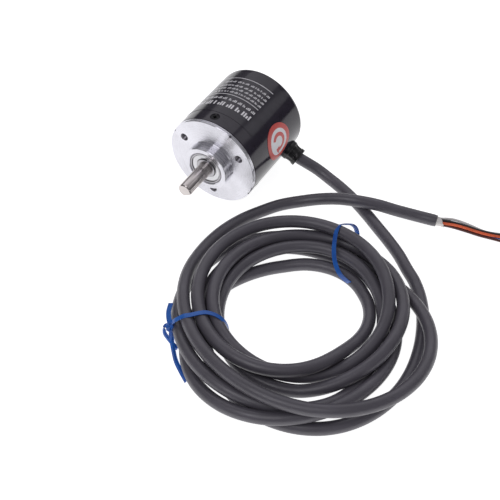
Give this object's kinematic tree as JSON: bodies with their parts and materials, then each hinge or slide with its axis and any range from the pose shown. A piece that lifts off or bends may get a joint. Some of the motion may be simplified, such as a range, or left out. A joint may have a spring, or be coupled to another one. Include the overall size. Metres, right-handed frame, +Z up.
{
  "type": "incremental shaft encoder",
  "caption": "Round shaft encoder: pilot boss and D-cut shaft on ball bearings, code disc and reading head inside, side gland with a coiled, tied cable stripped to its cores.",
  "frame": {"origin": "under the middle of the encoder as it lies on its side: below the shaft axis, halfway between the shaft tip and the rear face, at the height of the surface it lies on", "axes": "+Z up, +Y along the shaft axis from the shaft tip towards the rear face, +X towards the side that the cable gland faces"},
  "size_m": [0.158, 0.1425, 0.0402],
  "materials": {
    "satin_aluminium": "fine turned, bright satin",
    "black_cover": "smooth semi-gloss black coat",
    "seal_rubber": "matt black",
    "black_screw": "black oxide steel",
    "label_film": "satin printed film, black ground",
    "white_print": "white printed ink",
    "sticker_film": "satin printed film, red on white",
    "bearing_steel": "ground and polished",
    "pressed_brass": "satin",
    "spring_steel": "pressed, satin",
    "shaft_steel": "ground stainless",
    "optical_glass": "clear, polished",
    "black_moulding": "moulded, matt",
    "chip_plastic": "moulded epoxy",
    "green_board": "solder mask",
    "connector_plastic": "moulded",
    "gland_rubber": "moulded, semi-matt black",
    "cable_jacket": "satin dark grey PVC",
    "white_core": "thin-wall PVC",
    "black_core": "thin-wall PVC",
    "orange_core": "thin-wall PVC",
    "blue_core": "thin-wall PVC",
    "brown_core": "thin-wall PVC",
    "bare_copper": "tinned copper strands",
    "tie_plastic": "blue plastic strip"
  },
  "bodies": {
    "housing": {"flange_base": "satin_aluminium", "cover": "black_cover", "seal_ring": "seal_rubber", "cover_screw_1": "black_screw", "cover_screw_2": "black_screw", "cover_screw_3": "black_screw", "label": "label_film", "round_sticker": "sticker_film", "front_bearing_outer_race": "bearing_steel", "front_bearing_front_shield": "spring_steel", "front_bearing_rear_shield": "spring_steel", "rear_bearing_outer_race": "bearing_steel", "rear_bearing_rear_shield": "spring_steel", "wave_washer": "spring_steel", "sensor_holder": "black_moulding", "light_emitter": "optical_glass", "collimating_lens": "optical_glass", "reticle_mask": "optical_glass", "photodetector": "chip_plastic", "main_board": "green_board", "signal_chip": "chip_plastic", "wire_connector": "connector_plastic", "board_screw_1": "black_screw", "board_screw_2": "black_screw", "cable_gland": "gland_rubber", "inner_cable": "cable_jacket", "cable_lead": "cable_jacket", "cable_coil": "cable_jacket", "cable_tail": "cable_jacket", "conductor_white": "white_core", "conductor_black": "black_core", "conductor_orange": "orange_core", "conductor_blue": "blue_core", "conductor_brown": "brown_core", "twist_tie_1": "tie_plastic", "twist_tie_2": "tie_plastic"},
    "rotor": {"shaft": "shaft_steel", "front_bearing_inner_race": "bearing_steel", "rear_bearing_inner_race": "bearing_steel", "bearing_spacer": "pressed_brass", "retaining_ring": "spring_steel", "disc_hub": "pressed_brass", "hub_set_screw": "black_screw", "code_disc": "optical_glass"},
    "front_ball_set": {"front_bearing_cage": "pressed_brass", "front_bearing_ball_1": "bearing_steel", "front_bearing_ball_2": "bearing_steel", "front_bearing_ball_3": "bearing_steel", "front_bearing_ball_4": "bearing_steel", "front_bearing_ball_5": "bearing_steel", "front_bearing_ball_6": "bearing_steel", "front_bearing_ball_7": "bearing_steel"},
    "rear_ball_set": {"rear_bearing_cage": "pressed_brass", "rear_bearing_ball_1": "bearing_steel", "rear_bearing_ball_2": "bearing_steel", "rear_bearing_ball_3": "bearing_steel", "rear_bearing_ball_4": "bearing_steel", "rear_bearing_ball_5": "bearing_steel", "rear_bearing_ball_6": "bearing_steel", "rear_bearing_ball_7": "bearing_steel"}
  },
  "joints": [
    {"name": "shaft_spin", "type": "hinge", "parent": "housing", "child": "rotor", "pos_m": [0, 0, 0.02], "axis": [0, -1, 0], "continuous": true},
    {"name": "front_balls_orbit", "type": "hinge", "parent": "housing", "child": "front_ball_set", "pos_m": [0, 0, 0.02], "axis": [0, -1, 0], "continuous": true},
    {"name": "rear_balls_orbit", "type": "hinge", "parent": "housing", "child": "rear_ball_set", "pos_m": [0, 0, 0.02], "axis": [0, -1, 0], "continuous": true}
  ],
  "couplings": [
    {"joint": "front_balls_orbit", "follows": "shaft_spin", "ratio": 0.3867},
    {"joint": "rear_balls_orbit", "follows": "shaft_spin", "ratio": 0.3867}
  ]
}
